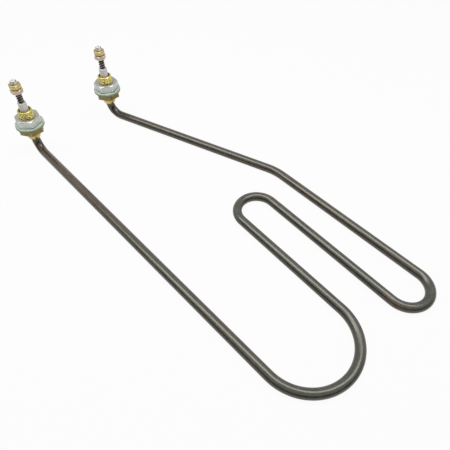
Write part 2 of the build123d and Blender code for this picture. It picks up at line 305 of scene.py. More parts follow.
def eased_rows(corners, angles, grime_and_shade=0.0, closed=False):
    """Rows of a turned surface from (radius, height, ease) corners, each corner rounded.

    A corner P with neighbours A and B becomes the curve (1-u)^2 P0 + 2u(1-u) P + u^2 P2, where
    P0 and P2 lie the ease away from P towards A and B, or just under halfway where that is
    nearer. One more point on each side keeps the shading of the straight parts straight. Every
    angle gets the same radius, height, grime and wear: grime, which is dirt with painted shade,
    is 1 in a hollow corner and wear is 1 on an outward one, fading over the curve, and grime is
    nowhere less than the given one.
    """
    corners = np.asarray(corners, float)
    point, ease = corners[:, :2], corners[:, 2:]
    neighbours = [np.roll(point, 1, axis=0), np.roll(point, -1, axis=0)]
    if not closed:
        neighbours[0][0], neighbours[1][-1] = point[0], point[-1]
    most_eased, most_held, hold, tiny = 0.45, 0.48, 1.6, 1e-9
    sides = []
    for neighbour in neighbours:
        reach = np.maximum(np.linalg.norm(neighbour - point, axis=1, keepdims=True), tiny)
        way = (neighbour - point) / reach
        eased = np.minimum(ease, reach * most_eased)
        held = np.minimum(eased * hold, reach * most_held)
        sides.append((way, point + way * eased, point + way * held))
    (back, first, hold_first), (on, last, hold_last) = sides
    u = np.array([0.0, 0.3, 0.7, 1.0])[:, None, None]
    curve = (1 - u) ** 2 * first + 2 * u * (1 - u) * point + u ** 2 * last
    whole = np.concatenate([hold_first[None], curve, hold_last[None]])
    outward = np.sign(on[:, 0] * back[:, 1] - on[:, 1] * back[:, 0])
    fade = np.array([0.0, 0.5, 1.0, 1.0, 0.5, 0.0])[:, None]
    marks = np.maximum(np.stack([-fade * outward, fade * outward], axis=-1), 0)
    profile = np.swapaxes(np.concatenate([whole, marks], axis=-1), 0, 1).reshape(-1, 1, 4)
    rows = np.repeat(profile, len(angles), axis=1)
    rows[..., 2] = np.maximum(rows[..., 2], grime_and_shade)
    return rows


def threaded_rows(low, high, crest, depth, pitch, angles, top=None):
    """Rows of a right-hand thread.

    The radius is crest - depth * w, where w rises from 0 on the crest to 1 in the root as the
    phase height / pitch - angle / 2 pi runs through one turn: w = smooth(|2 phase - 1|) with
    a flat crest and a narrower root. A top is the height at which a 45 degree chamfer ends the
    thread. Grime, which is dirt with painted shade, follows w, and wear is what is left of the
    crest.
    """
    steps_per_turn, crest_share, slope_share = 14, 0.12, 0.74
    count = int(math.ceil((high - low) / pitch * steps_per_turn)) + 1
    height = np.linspace(low, high, count)[:, None]
    phase = (height / pitch - angles / (2 * math.pi)) % 1.0
    slope = np.clip((np.abs(2 * phase - 1) - crest_share) / slope_share, 0, 1)
    wave = slope * slope * (3 - 2 * slope)
    radius = crest - depth * wave
    if top is not None:
        radius = np.minimum(radius, crest - END_CHAMFER + (top - height))
    height = np.broadcast_to(height, radius.shape)
    return np.stack([radius, height, wave, (1 - wave) ** 2], axis=-1)


def from_corner(angles, turn):
    """Angle from the nearest corner of a hexagon, between -30 and 30 degrees."""
    return (angles - turn + math.pi / 6) % (math.pi / 3) - math.pi / 6


def hexagon_radius(across_flats, corner_round, angles, turn):
    """Distance from the axis to the side of a hexagon with rounded corners.

    On a flat it is a / cos(t), with a half across the flats and t the angle from the flat's
    normal. Near a corner it is the far crossing of the ray with the corner's circle.
    """
    flat = across_flats / 2
    off_corner = from_corner(angles, turn)
    off_flat = math.pi / 6 - np.abs(off_corner)
    centre = (flat - corner_round) / math.cos(math.pi / 6)
    reach = corner_round ** 2 - (centre * np.sin(off_corner)) ** 2
    on_circle = centre * np.cos(off_corner) + np.sqrt(np.maximum(reach, 0))
    touch = math.atan((flat - corner_round) * math.tan(math.pi / 6) / flat)
    return np.where(off_flat > touch, on_circle, flat / np.cos(off_flat))


def hexagon_rows(
    foot, top, across_flats, angles, turn, corner_round, ring, ease, sharp_foot=False
):
    """Rows up the outside of a hexagon whose faces are chamfered at 30 degrees.

    The chamfer's circle lies the ring inside the flats. The chamfer's cone meets each side at
    a height of (side radius - circle) tan 30 from the face, so the rows there follow the curved
    edge exactly, and the ease rounds both of its edges. A sharp foot has no chamfer. Wear marks
    the edges and the six corners. A step is (radius, depth below the face, wear).
    """
    side = hexagon_radius(across_flats, corner_round, angles, turn)
    circle = across_flats / 2 - ring
    chamfer_angle, corner_width = math.radians(30), math.radians(2.2)
    cut = (side - circle) * math.tan(chamfer_angle)
    along, rise = ease * math.cos(chamfer_angle), ease * math.sin(chamfer_angle)
    corner_wear = 0.8 * np.exp(-(from_corner(angles, turn) / corner_width) ** 2)
    chamfered = [
        (circle - 2.5 * ease, 0, 0.0),
        (circle - ease, 0, 0.3),
        (circle - 0.25 * ease + 0.2 * along, 0.2 * rise, 0.6),
        (circle + along, rise, 0.3),
        (side - along, cut - rise, 0.3),
        (side - 0.22 * along, cut - 0.22 * rise + 0.22 * ease, 1.0),
        (side, cut + ease, 0.8),
        (side, cut + 2.2 * ease, 0.0),
    ]
    square = [
        (side - 4 * ease, 0, 0.0),
        (side - 2 * ease, 0, 0.3),
        (side - 0.6 * ease, 0.25 * ease, 1.0),
        (side - 0.25 * ease, 0.6 * ease, 1.0),
        (side, 2 * ease, 0.5),
        (side, 4 * ease, 0.0),
    ]

    def face(steps, height, inwards):
        even = np.ones_like(side)
        radius = np.array([r * even for r, _, _ in steps])
        depth = np.array([d * even for _, d, _ in steps])
        wear = np.array([np.maximum(w, corner_wear * (r > circle)) for r, _, w in steps])
        return np.stack([radius, height + inwards * depth, 0 * radius, wear], axis=-1)

    lower = face(square if sharp_foot else chamfered, foot, 1)
    return np.concatenate([lower, face(chamfered, top, -1)[::-1]])


def put_nut(
    side, name, node, foot, top, turn, material, slot, across_flats, bore, countersink, **easing
):
    """Hexagon nut: countersunk bore, bottom face, six sides and top face.

    bore is a radius, and easing is the corner_round, ring and ease of the hexagon's rows.
    """
    angles = hexagon_angles(turn)
    ease = countersink * 0.2
    mouth = bore + countersink
    rows = np.concatenate([
        eased_rows([(bore, foot + countersink, ease), (mouth, foot, ease)], angles),
        hexagon_rows(foot, top, across_flats, angles, turn, **easing),
        eased_rows([(mouth, top, ease), (bore, top - countersink, ease)], angles),
    ])
    put_turned(side, name, node, rows, angles, material, slot)


def stack_heights(scene):
    """Heights of the terminal's pieces from the collar's foot."""
    fitting, terminal = scene.heater_fitting, scene.heater_terminal
    at = SimpleNamespace(head_foot=fitting.collar_height)
    at.head_top = at.head_foot + fitting.head_height
    at.gasket_top = at.head_top + fitting.gasket_thickness
    at.lock_nut_top = at.gasket_top + fitting.lock_nut_height
    at.barrel_top = at.lock_nut_top + fitting.barrel_exposed
    at.tube_end = at.barrel_top - fitting.recess_depth
    at.seal_top = at.tube_end - terminal.spigot_length
    at.insulator_top = at.barrel_top + terminal.insulator_exposed
    at.pin_top = at.insulator_top + terminal.stud_socket_depth
    at.lower_nut_foot = at.insulator_top + terminal.stud_exposed
    at.upper_nut_foot = at.lower_nut_foot + terminal.lower_nut_height
    at.upper_nut_top = at.upper_nut_foot + terminal.upper_nut_height
    at.stud_top = at.upper_nut_top + terminal.stud_end
    return at


# Centre line of the tube

def heading(turned):
    """Level direction at an angle, or at each of several angles."""
    return np.stack([np.cos(turned), np.sin(turned), 0 * turned], axis=-1)


def walk(place, turned, runs):
    """Samples (x, y, z, heading, dive) along level runs, and the place and heading after them.

    A run is (size, turn, count). Without a turn it is a straight of that length. With one it
    is an arc of that radius, anticlockwise when positive: its points are the centre minus the
    radius times the side direction, turned on by each point's share of the turn.
    """
    samples = []
    for size, turn, count in runs:
        share = np.arange(count + 1) / count
        now = turned + share * turn
        if turn:
            side = math.copysign(math.pi / 2, turn)
            places = place + size * (heading(turned + side) - heading(now + side))
        else:
            places = place + size * share[:, None] * heading(turned)
        samples.append(np.column_stack([places, now, 0 * now])[:-1])
        place, turned = places[-1], turned + turn
    return np.vstack(samples), place, turned


def climb(axis, turned, elbow, top):
    """Samples from a level leg round an upright elbow and straight up to the tube's end.

    The dive angle e runs from 0 to 90 degrees, and the place is the elbow's centre + radius *
    (sin e * heading - cos e * Z). axis is the point where the leg would cross the upright.
    """
    bend_steps, straight_steps = 30, 12
    dive = np.linspace(0, math.pi / 2, bend_steps + 1)[:, None]
    centre = axis + elbow * (UP - heading(turned))
    bend = centre + elbow * (np.sin(dive) * heading(turned) - np.cos(dive) * UP)
    straight = np.linspace(axis + UP * elbow, axis + UP * top, straight_steps + 1)[1:]
    dive = np.append(dive, np.full(straight_steps, math.pi / 2))
    return np.column_stack([np.vstack([bend, straight]), np.full(len(dive), turned), dive])


def tube_samples(scene):
    """Centre line from the left end of the tube to the right one, as (x, y, z, heading, dive).

    Legs 4 and 5 take the lengths that close the shape on the right terminal. With m the way
    that is missing when both are 0, they are m x h5 and h4 x m, each over sin(dogleg turn).
    """
    tube = scene.heater_tube
    level, elbow = tube.tube_diameter / 2, tube.elbow_radius
    top = COLLAR_FOOT + stack_heights(scene).tube_end - level
    left, right = (np.array([AXES[side].x, AXES[side].y, level]) for side in SIDES)
    runs = []
    for number, way, leg_count in ((1, 1, 24), (2, -1, 12), (3, 1, 12)):
        turn = getattr(tube, f"loop_{number}_turn")
        runs.append((getattr(tube, f"leg_{number}_length"), 0, leg_count))
        runs.append((getattr(tube, f"loop_{number}_radius"), way * turn, int(turn / FINE_TURN)))
    forward = -math.pi / 2
    loops, place, turned = walk(left + heading(forward) * elbow, forward, runs)
    dogleg = (tube.dogleg_radius, tube.dogleg_turn, 10)
    _, bent, last = walk(place, turned, [dogleg])
    missing = right - heading(last) * elbow - bent
    leg_4 = np.cross(missing, heading(last))[2] / math.sin(tube.dogleg_turn)
    leg_5 = np.cross(heading(turned), missing)[2] / math.sin(tube.dogleg_turn)
    legs, _, _ = walk(place, turned, [(leg_4, 0, 14), dogleg, (leg_5, 0, 16)])
    down = climb(left, forward + math.pi, elbow, top)[:0:-1]
    down[:, 3:] = np.column_stack([down[:, 3] - math.pi, -down[:, 4]])
    return np.vstack([down, loops, legs, climb(right, last, elbow, top)])


def loop_middles(scene):
    """Length of tube from its left end to the middle of each of the three loops."""
    tube = scene.heater_tube
    upright = COLLAR_FOOT + stack_heights(scene).tube_end - tube.tube_diameter / 2
    so_far = upright + tube.elbow_radius * (math.pi / 2 - 1)
    middles = []
    for number in (1, 2, 3):
        arc = getattr(tube, f"loop_{number}_radius") * getattr(tube, f"loop_{number}_turn")
        so_far += getattr(tube, f"leg_{number}_length") + arc / 2
        middles.append(so_far)
        so_far += arc / 2
    return middles


# Materials

def scaled(tone, factor):
    return tuple(part * factor for part in tone)


class NodeSet:
    """Nodes of a material or of the world.

    A value is a number, a vector, a colour of three parts or the output of another node. A
    share runs from 0 to 1.
    """

    def __init__(self, tree):
        self.tree = tree

    def feed(self, socket, value):
        """Links the socket to another node's output, or sets the plain value on it."""
        if isinstance(value, bpy.types.NodeSocket):
            self.tree.links.new(value, socket)
        else:
            socket.default_value = (*value, 1) if socket.type == "RGBA" else value

    def add(self, kind, inputs, output=0, **settings):
        """One output of a new node; inputs gives values to its sockets."""
        node = self.tree.nodes.new(kind)
        for key, value in settings.items():
            setattr(node, key, value)
        for key, value in inputs.items():
            self.feed(node.inputs[key], value)
        return node.outputs[output]

    def maths(self, operation, first, second):
        """Result of an operation on two values, held between 0 and 1."""
        sockets = {0: first, 1: second}
        return self.add("ShaderNodeMath", sockets, operation=operation, use_clamp=True)

    def product(self, first, second):
        return self.maths("MULTIPLY", first, second)

    def spread(self, value, low, high, to_low, to_high):
        """Smooth step from one number to another as the value rises from low to high."""
        limits = {"From Min": low, "From Max": high, "To Min": to_low, "To Max": to_high}
        sockets = {"Value": value, **limits}
        return self.add("ShaderNodeMapRange", sockets, interpolation_type="SMOOTHSTEP")

    def part(self, vector, axis):
        return self.add("ShaderNodeSeparateXYZ", {0: vector}, axis)

    def seen_directly(self):
        """1 for what the camera sees, also in a reflection or through glass, 0 for light."""
        rays = ("Is Camera Ray", "Is Glossy Ray", "Is Transmission Ray")
        camera, glossy, clear = (self.add("ShaderNodeLightPath", {}, ray) for ray in rays)
        return self.maths("MAXIMUM", self.maths("MAXIMUM", camera, glossy), clear)


class Coat(NodeSet):
    """Node material whose patterns lie on Object coordinates, or on an attribute's vectors."""

    def __init__(self, name, attribute=None):
        self.material = bpy.data.materials.new(name)
        self.material.use_nodes = True
        super().__init__(self.material.node_tree)
        self.shader = self.tree.nodes["Principled BSDF"]
        self.attribute = attribute

    def place(self):
        """Where a point lies in the patterns."""
        if self.attribute is None:
            return self.add("ShaderNodeTexCoord", {}, "Object")
        return self.add("ShaderNodeAttribute", {}, "Vector", attribute_name=self.attribute)

    def noise(self, scale, detail, distortion=0.0):
        """Noise whose scale is one number or one for each axis."""
        scale = scale if isinstance(scale, tuple) else (scale,) * 3
        stretched = self.add("ShaderNodeMapping", {"Vector": self.place(), "Scale": scale})
        return self.add("ShaderNodeTexNoise", {
            "Vector": stretched, "Scale": 1.0, "Detail": detail, "Roughness": 0.55,
            "Distortion": distortion,
        }, "Fac")

    def mark(self, name):
        """Value of one of the marks that the piece's surface carries."""
        return self.add("ShaderNodeAttribute", {}, "Fac", attribute_name=name)

    def height_band(self, low, high=None):
        """Share between two heights from the collar's foot, or above one, with soft ends."""
        soft = 0.00015
        height = self.part(self.place(), "Z")
        low += COLLAR_FOOT
        rise = self.spread(height, low - soft, low + soft, 0.0, 1.0)
        if high is None:
            return rise
        high += COLLAR_FOOT
        return self.product(rise, self.spread(height, high - soft, high + soft, 1.0, 0.0))

    def along(self, value, stops):
        """Share that changes with a value; stops are (value, share)."""
        ramp = self.add("ShaderNodeValToRGB", {"Fac": value})
        ramp.node.color_ramp.interpolation = "EASE"
        elements = ramp.node.color_ramp.elements
        for element, (place, share) in zip(elements, (stops[0], stops[-1])):
            element.position, element.color = place, (share, share, share, 1)
        for place, share in stops[1:-1]:
            elements.new(place).color = (share, share, share, 1)
        return ramp

    def blend(self, share, first, second, mode="MIX"):
        """Colour between two colours."""
        factor, colour_a, colour_b, result = 0, 6, 7, 2
        sockets = {factor: share, colour_a: first, colour_b: second}
        return self.add("ShaderNodeMix", sockets, result, data_type="RGBA", blend_type=mode)

    def layer(self, tone, tint, pattern, limits, within=None, mode="MIX"):
        """A tone with a tint over it.

        The tint's share follows the pattern through limits, which are those of a spread, times
        the share within which it lies.
        """
        share = self.spread(pattern, *limits)
        if within is not None:
            share = self.product(within, share)
        return self.blend(share, tone, tint, mode)

    def bumps(self, *layers):
        """Bumps one over another, each given as (height, distance, strength)."""
        before = {}
        for height, distance, strength in layers:
            sockets = {"Height": height, "Distance": distance, "Strength": strength, **before}
            before = {"Normal": self.add("ShaderNodeBump", sockets)}
        self.feed(self.shader.inputs["Normal"], before["Normal"])

    def finished(self, tone, roughness, metallic=0.0, **more):
        """The material, once its shader has these values."""
        values = {"Base Color": tone, "Roughness": roughness, "Metallic": metallic, **more}
        for key, value in values.items():
            self.feed(self.shader.inputs[key], value)
        return self.material


def oxidised_steel(colours, whole_length, bends):
    """Annealed sheath: olive oxide, browner towards the terminals and cooler in the loops.

    Patches of brown and slate follow noise that is stretched along the tube, with fine drawn
    lines, small dark pits and a few copper-brown spots where the tube leaves a loop. bends
    holds the middle of each loop as a part of the whole length.
    """
    coat = Coat("oxidised_steel", "tube_place")
    way = coat.maths("DIVIDE", coat.part(coat.place(), "X"), whole_length)
    patches = coat.noise((26, 110, 110), 4, 0.5)
    clouds = coat.noise((11, 60, 60), 3)
    lines = coat.noise((20, 1300, 1300), 2)
    mottle = coat.noise((240, 420, 420), 5)
    pits = coat.noise(1500, 3)
    front, middle, right = bends
    brown = coat.along(way, (
        (0.0, 0.9), (0.12, 0.85), (0.22, 0.2), (0.6, 0.1), (0.68, 0.5), (0.82, 0.6), (1.0, 1.0),
    ))
    cool = coat.along(way, (
        (0.0, 0.0), (front - 0.07, 0.15), (front, 1.0), (front + 0.07, 0.3),
        (middle - 0.03, 0.9), (middle + 0.02, 0.5), (right, 0.6), (right + 0.05, 0.0),
    ))
    spots = coat.along(way, (
        (0.0, 0.2), (0.1, 0.3), (0.2, 0.0), (middle + 0.008, 0.0), (middle + 0.018, 1.0),
        (middle + 0.03, 0.0), (right - 0.035, 0.0), (right - 0.022, 0.6), (right - 0.008, 0.0),
    ))
    pale, deep = scaled(colours.oxide_olive, 1.9), scaled(colours.oxide_olive, 0.35)
    tone = colours.oxide_olive
    for tint, pattern, limits, within in (
        (colours.oxide_brown, patches, (0.3, 0.6, 0.25, 1.0), brown),
        (colours.oxide_slate, clouds, (0.3, 0.65, 0.35, 1.0), cool),
        (colours.oxide_copper, patches, (0.42, 0.56, 0.0, 1.0), spots),
        (pale, mottle, (0.45, 0.75, 0.0, 0.7), None),
        (deep, mottle, (0.25, 0.5, 0.6, 0.0), None),
        (deep, pits, (0.56, 0.72, 0.0, 0.6), None),
    ):
        tone = coat.layer(tone, tint, pattern, limits, within)
    coat.bumps((lines, TOOL_MARK, 0.4), (pits, TOOL_MARK, 0.3))
    gloss = {"Specular IOR Level": 0.78, "Specular Tint": (1.0, 0.97, 0.88)}
    return coat.finished(tone, coat.spread(mottle, 0.3, 0.7, 0.21, 0.31), **gloss)


def metal(name, clean, dull, roughness, tarnish_and_shade, bands=(), turned=0.3, worn=0.4):
    """Machined metal.

    The clean colour changes to each band's colour between its heights, is dulled in patches,
    goes to tarnish with painted shade in hollows, and lightens along worn edges. Turning marks
    run round the axis.
    """
    coat = Coat(name)
    patches = coat.noise(260, 5, 0.6)
    grain = coat.noise(1400, 4)
    turning = coat.noise((60, 60, 5200), 2)
    tone = clean
    for low, high, tint in bands:
        tone = coat.blend(coat.height_band(low, high), tone, tint)
    tone = coat.layer(tone, dull, patches, (0.42, 0.7, 0.0, 0.6), mode="MULTIPLY")
    # Tarnish with painted shade in the hollows, following the grime mark.
    tone = coat.layer(tone, tarnish_and_shade, patches, (0.3, 0.6, 0.4, 0.85), coat.mark("grime_and_shade"))
    wear = (0.35, 0.6, worn * 0.25, worn)
    tone = coat.layer(tone, (0.6, 0.6, 0.6), grain, wear, coat.mark("wear"), "SCREEN")
    coat.bumps((turning, TOOL_MARK, turned), (grain, TOOL_MARK, 0.1))
    rough = coat.spread(grain, 0.3, 0.7, roughness * 0.8, roughness * 1.25)
    return coat.finished(tone, rough, 1.0)


def fibre_board(colours, foot):
    """Pressed fibre: pale green with short fibres, layered at its edge, with painted shade at its
    foot.
    """
    coat = Coat("fibre")
    layers = coat.noise((120, 120, 2600), 3)
    fibres = coat.noise((1400, 1400, 500), 5, 1.2)
    smears = coat.noise(180, 3)
    pale = tuple(min(1.0, part * 1.12 + 0.02) for part in colours.fibre)
    tone = coat.layer(colours.fibre, pale, fibres, (0.35, 0.65, 0.0, 1.0))
    tone = coat.layer(tone, scaled(colours.fibre, 0.7), layers, (0.5, 0.75, 0.0, 0.5))
    tone = coat.layer(tone, colours.fibre_stain_and_shade, smears, (0.5, 0.75, 0.0, 0.35))
    # Olive band at the foot of the rim: painted shade and a painted reflection of the brass head.
    foot_shade = (foot + 0.0011, foot + 0.0025, 0.95, 0.0)
    tone = coat.layer(tone, colours.fibre_stain_and_shade, coat.part(coat.place(), "Z"), foot_shade)
    coat.bumps((layers, 0.00005, 0.4), (fibres, 0.00004, 0.4))
    return coat.finished(tone, 0.65)


def fired_ceramic(colours):
    """Fired ceramic: off-white with a faint bloom, specks, a slight glaze, dust and painted shade
    at its foot.
    """
    coat = Coat("ceramic")
    bloom = coat.noise(300, 4)
    specks = coat.noise(2600, 2)
    pale = tuple(min(1.0, part * more) for part, more in zip(colours.ceramic, (1.08, 1.06, 1.1)))
    tone = coat.layer(colours.ceramic, pale, bloom, (0.35, 0.7, 0.0, 1.0))
    tone = coat.layer(tone, (0.3, 0.27, 0.22), specks, (0.66, 0.8, 0.0, 0.5))
    # Dust with painted shade in the hollow corner at the foot, following the grime mark.
    dust_and_shade = (0.25, 0.21, 0.15)
    tone = coat.layer(tone, dust_and_shade, bloom, (0.3, 0.6, 0.4, 0.8), coat.mark("grime_and_shade"))
    coat.bumps((bloom, 0.00003, 0.08))
    return coat.finished(tone, 0.42)


def blackened_stud(colours, plain_from, face_from):
    """Blackened thread with worn crests, plain steel above it, painted shade on the chamfer, and a
    bright end face with a painted reflection.
    """
    coat = Coat("dark_steel")
    rust = coat.noise(420, 4)
    grain = coat.noise(2000, 3)
    worn, rust_and_shade = coat.mark("wear"), (0.16, 0.14, 0.12)
    tone = coat.layer(colours.stud_dark, colours.stud_worn, rust, (0.3, 0.6, 0.3, 1.0), worn)
    plain = coat.height_band(plain_from)
    tone = coat.blend(plain, tone, colours.stud_side)
    # Rust with painted shade in the thread's hollows above the nuts.
    hollows = coat.product(coat.mark("grime_and_shade"), plain)
    tone = coat.layer(tone, rust_and_shade, rust, (0.3, 0.6, 0.3, 0.7), hollows)
    # The chamfer is darkened as painted shade and the end face lightened as a painted reflection.
    chamfer_from, dark = face_from - 0.0006, scaled(colours.stud_side, 0.3)
    tone = coat.blend(coat.height_band(chamfer_from), tone, dark)
    tone = coat.blend(coat.height_band(face_from), tone, colours.bright_end_reflection)
    coat.bumps((grain, 0.00003, 0.15))
    return coat.finished(tone, coat.spread(grain, 0.3, 0.7, 0.36, 0.5), 0.7)


def mottled(name, tone, roughness, metallic=0.0):
    """Hidden inner piece: one tone with a fine mottle."""
    coat = Coat(name)
    grain = coat.noise(1200, 4)
    coat.bumps((grain, 0.00005, 0.3))
    mottle = coat.layer(tone, scaled(tone, 0.7), grain, (0.3, 0.7, 0.0, 1.0))
    return coat.finished(mottle, roughness, metallic)


# Operators

class HEATER_OT_sheath(bpy.types.Operator):
    """Build the bent steel tube"""

    bl_idname = "heater.sheath"
    bl_label = "Sheath"

    def execute(self, context):
        scene = context.scene
        tube = scene.heater_tube
        samples = tube_samples(scene)
        place, turned, dive = samples[:, :3], samples[:, 3], samples[:, 4]
        tangent = np.cos(dive)[:, None] * heading(turned) + np.sin(dive)[:, None] * UP
        side = heading(turned + math.pi / 2)
        crown = np.cross(tangent, side)
        steps = np.linalg.norm(np.diff(place, axis=0), axis=1)
        along = np.append(0, np.cumsum(steps))

        # The rows run out along the sheath's outside and back along its bore, and each ring is
        # the place + radius * (cos t * side + sin t * crown).
        outer, bore = tube.tube_diameter / 2, tube.tube_diameter / 2 - tube.tube_wall
        count = len(place)
        rows = np.append(np.arange(count), np.arange(count)[::-1])
        radius = np.repeat([outer, bore], count)[:, None]
        angles = round_angles(56)
        across, upward = radius * np.cos(angles), radius * np.sin(angles)
        places = (
            place[rows][:, None, :]
            + across[..., None] * side[rows][:, None, :]
            + upward[..., None] * crown[rows][:, None, :]
        )
        far = np.broadcast_to(along[rows][:, None], across.shape)
        marks = {"tube_place": np.stack([far, across, upward], axis=-1)}
        piece = put_surface("sheath_tube", places, marks)
        bends = [middle / along[-1] for middle in loop_middles(scene)]
        steel = oxidised_steel(scene.heater_finish, along[-1], bends)
        finish_piece(piece, steel, "oxidised_steel", "sheath")
        return {"FINISHED"}


class HEATER_OT_fittings(bpy.types.Operator):
    """Build the two threaded brass fittings"""

    bl_idname = "heater.fittings"
    bl_label = "Fittings"

    def execute(self, context):
        scene = context.scene
        fitting, colours, at = scene.heater_fitting, scene.heater_finish, stack_heights(scene)
        top = at.barrel_top
        brass = metal(
            "turned_brass", colours.collar_brass, (0.68, 0.62, 0.5), 0.36, colours.tarnish_and_shade,
            bands=(
                # Hexagon head in darker brass: painted shade under the gasket's overhang.
                (at.head_foot, at.head_top, colours.shaded_head_brass),
                (at.head_top + 0.0003, None, colours.barrel_brass),
                # Painted shade on the barrel's rim: darker brass above the last 0.3 mm.
                (top - 0.0003, None, scaled(colours.barrel_brass, 0.6)),
            ),
        )
        hole = scene.heater_tube.tube_diameter / 2 + PLAY
        collar, recess = fitting.collar_diameter / 2, fitting.recess_diameter / 2
        barrel, pitch = fitting.barrel_diameter / 2, fitting.barrel_pitch
        seat, root, thread_depth = barrel - PITCH_LINE * pitch, barrel - 0.0009, 0.00075
        undercut_top, thread_foot = at.head_top + 0.001, at.lock_nut_top - 0.0005
        for side in SIDES:
            turn = getattr(fitting, f"head_turn_{side}")
            angles = hexagon_angles(turn)
            rows = np.concatenate([
                eased_rows([
                    (hole, 0, EASE),
                    (fitting.collar_foot_diameter / 2, 0, 0.0003),
                    (collar, fitting.collar_taper_height, 0.0006),
                    (collar, at.head_foot, 0.0002),
                ], angles),
                hexagon_rows(
                    at.head_foot, at.head_top, fitting.head_across_flats, angles, turn,
                    corner_round=0.0004, ring=0.0004, ease=0.00012, sharp_foot=True,
                ),
                eased_rows([
                    (root, at.head_top, EASE),
                    (root, undercut_top, EASE),
                    (seat, undercut_top + 0.0004, EASE),
                    (seat, thread_foot - 0.0002, EASE),
                ], angles),
                threaded_rows(
                    thread_foot, top - 0.00012, barrel, thread_depth, pitch, angles, top
                ),
                eased_rows([(root, top, 0.00008), (recess, top, 0.0002)], angles),
                # Recess round the insulator: its grime of 0.8 is painted shade over the whole
                # recess.
                eased_rows([
                    (recess, top - 0.0005, EASE),
                    (recess, at.tube_end, EASE),
                    (hole, at.tube_end, EASE),
                ], angles, grime_and_shade=0.8),
            ])
            put_turned(side, "brass_fitting", "fitting", rows, angles, brass, "turned_brass")
        return {"FINISHED"}


class HEATER_OT_gaskets(bpy.types.Operator):
    """Build the two fibre gaskets"""

    bl_idname = "heater.gaskets"
    bl_label = "Gaskets"

    def execute(self, context):
        scene = context.scene
        fitting, at = scene.heater_fitting, stack_heights(scene)
        board = fibre_board(scene.heater_finish, COLLAR_FOOT + at.head_top)
        outer, bore = fitting.gasket_diameter / 2, fitting.barrel_diameter / 2
        foot, top = at.head_top, at.gasket_top
        angles = round_angles(120)
        uneven = 0.00005  # how far the punched edge wanders in each of its two waves
        for number, side in enumerate(SIDES):
            rows = eased_rows([
                (bore, foot, EASE),
                (outer - 0.0001, foot, 0.0003),
                (outer - 0.00002, (foot + top) / 2, 0.0006),
                (outer - 0.0001, top, 0.0003),
                (bore, top, EASE),
            ], angles, closed=True)
            waves = np.sin(5 * angles + number) + np.sin(9 * angles + 2 * number) - 2
            rows[..., 0] += np.where(rows[..., 0] > (outer + bore) / 2, uneven * waves, 0)
            put_turned(side, "fibre_gasket", "gasket", rows, angles, board, "fibre")
        return {"FINISHED"}


class HEATER_OT_lock_nuts(bpy.types.Operator):
    """Build the two plated lock nuts"""

    bl_idname = "heater.lock_nuts"
    bl_label = "Lock Nuts"

    def execute(self, context):
        scene = context.scene
        fitting, colours, at = scene.heater_fitting, scene.heater_finish, stack_heights(scene)
        zinc = metal(
            "zinc_plate", colours.zinc, (0.86, 0.86, 0.84), 0.5, (0.22, 0.25, 0.2),
            # Painted shade on the top face and chamfer, warmed as a painted reflection of the
            # barrel.
            bands=((at.lock_nut_top - 0.0008, None, colours.shaded_zinc_top),), turned=0.05, worn=0.15,
        )
        bore = fitting.barrel_diameter / 2 - PITCH_LINE * fitting.barrel_pitch + PLAY
        for side in SIDES:
            put_nut(
                side, "zinc_lock_nut", "lock_nut", at.gasket_top, at.lock_nut_top,
                getattr(fitting, f"lock_nut_turn_{side}"), zinc, "zinc_plate",
                across_flats=fitting.lock_nut_across_flats, bore=bore, countersink=0.0007,
                corner_round=0.0005, ring=0.0004, ease=0.00014,
            )
        return {"FINISHED"}


class HEATER_OT_insulators(bpy.types.Operator):
    """Build the two ceramic insulators"""

    bl_idname = "heater.insulators"
    bl_label = "Insulators"

    def execute(self, context):
        scene = context.scene
        terminal, tube, at = scene.heater_terminal, scene.heater_tube, stack_heights(scene)
        ceramic = fired_ceramic(scene.heater_finish)
        pin_hole = terminal.pin_diameter / 2 + PLAY
        spigot = tube.tube_diameter / 2 - tube.tube_wall - PLAY
        bead = terminal.insulator_diameter / 2
        angles = round_angles(72)
        rows = eased_rows([
            (pin_hole, at.seal_top, EASE),
            (spigot, at.seal_top, 0.0002),
            (spigot, at.tube_end, EASE),
            (bead, at.tube_end, 0.0002),
            (bead, at.insulator_top, 0.0007),
            (pin_hole, at.insulator_top, EASE),
        ], angles, closed=True)
        for side in SIDES:
            put_turned(side, "ceramic_insulator", "insulator", rows, angles, ceramic, "ceramic")
        return {"FINISHED"}


class HEATER_OT_studs(bpy.types.Operator):
    """Build the two terminal studs"""

    bl_idname = "heater.studs"
    bl_label = "Studs"

    def execute(self, context):
        scene = context.scene
        terminal, at = scene.heater_terminal, stack_heights(scene)
        foot, top = at.insulator_top, at.stud_top
        steel = blackened_stud(scene.heater_finish, at.upper_nut_top, top - 0.0001)
        socket, crest = terminal.pin_diameter / 2 + PLAY, terminal.stud_diameter / 2
        seat = crest - PITCH_LINE * NUT_PITCH
        centre, dish = 0.0002, 0.00015  # small hole closed by a fan; hollow of the end face
        notch_depth, thread_depth = 0.0008, 0.00035
        angles = round_angles(72)
        rows = np.concatenate([
            eased_rows([
                (centre, at.pin_top, 0.00005),
                (socket, at.pin_top, 0.00008),
                (socket, foot, EASE),
                (crest - 0.0005, foot, EASE),
            ], angles),
            threaded_rows(
                foot + 0.0002, at.lower_nut_foot + 0.0002, crest, notch_depth,
                terminal.stud_pitch, angles,
            ),
            eased_rows([
                (seat, at.lower_nut_foot + 0.0004, EASE),
                (seat, at.upper_nut_top - 0.0006, EASE),
            ], angles),
            threaded_rows(
                at.upper_nut_top - 0.0004, top - 0.00008, crest, thread_depth, NUT_PITCH, angles,
                top,
            ),
            eased_rows([
                (crest - 0.001, top, 0.00006),
                (crest - 0.0015, top - 0.00005, EASE),
                (centre, top - dish, EASE),
            ], angles),
        ])
        for side in SIDES:
            put_turned(
                side, "threaded_stud", "terminal_stud", rows, angles, steel, "dark_steel",
                pole_heights=(at.pin_top, top - dish),
            )
        return {"FINISHED"}


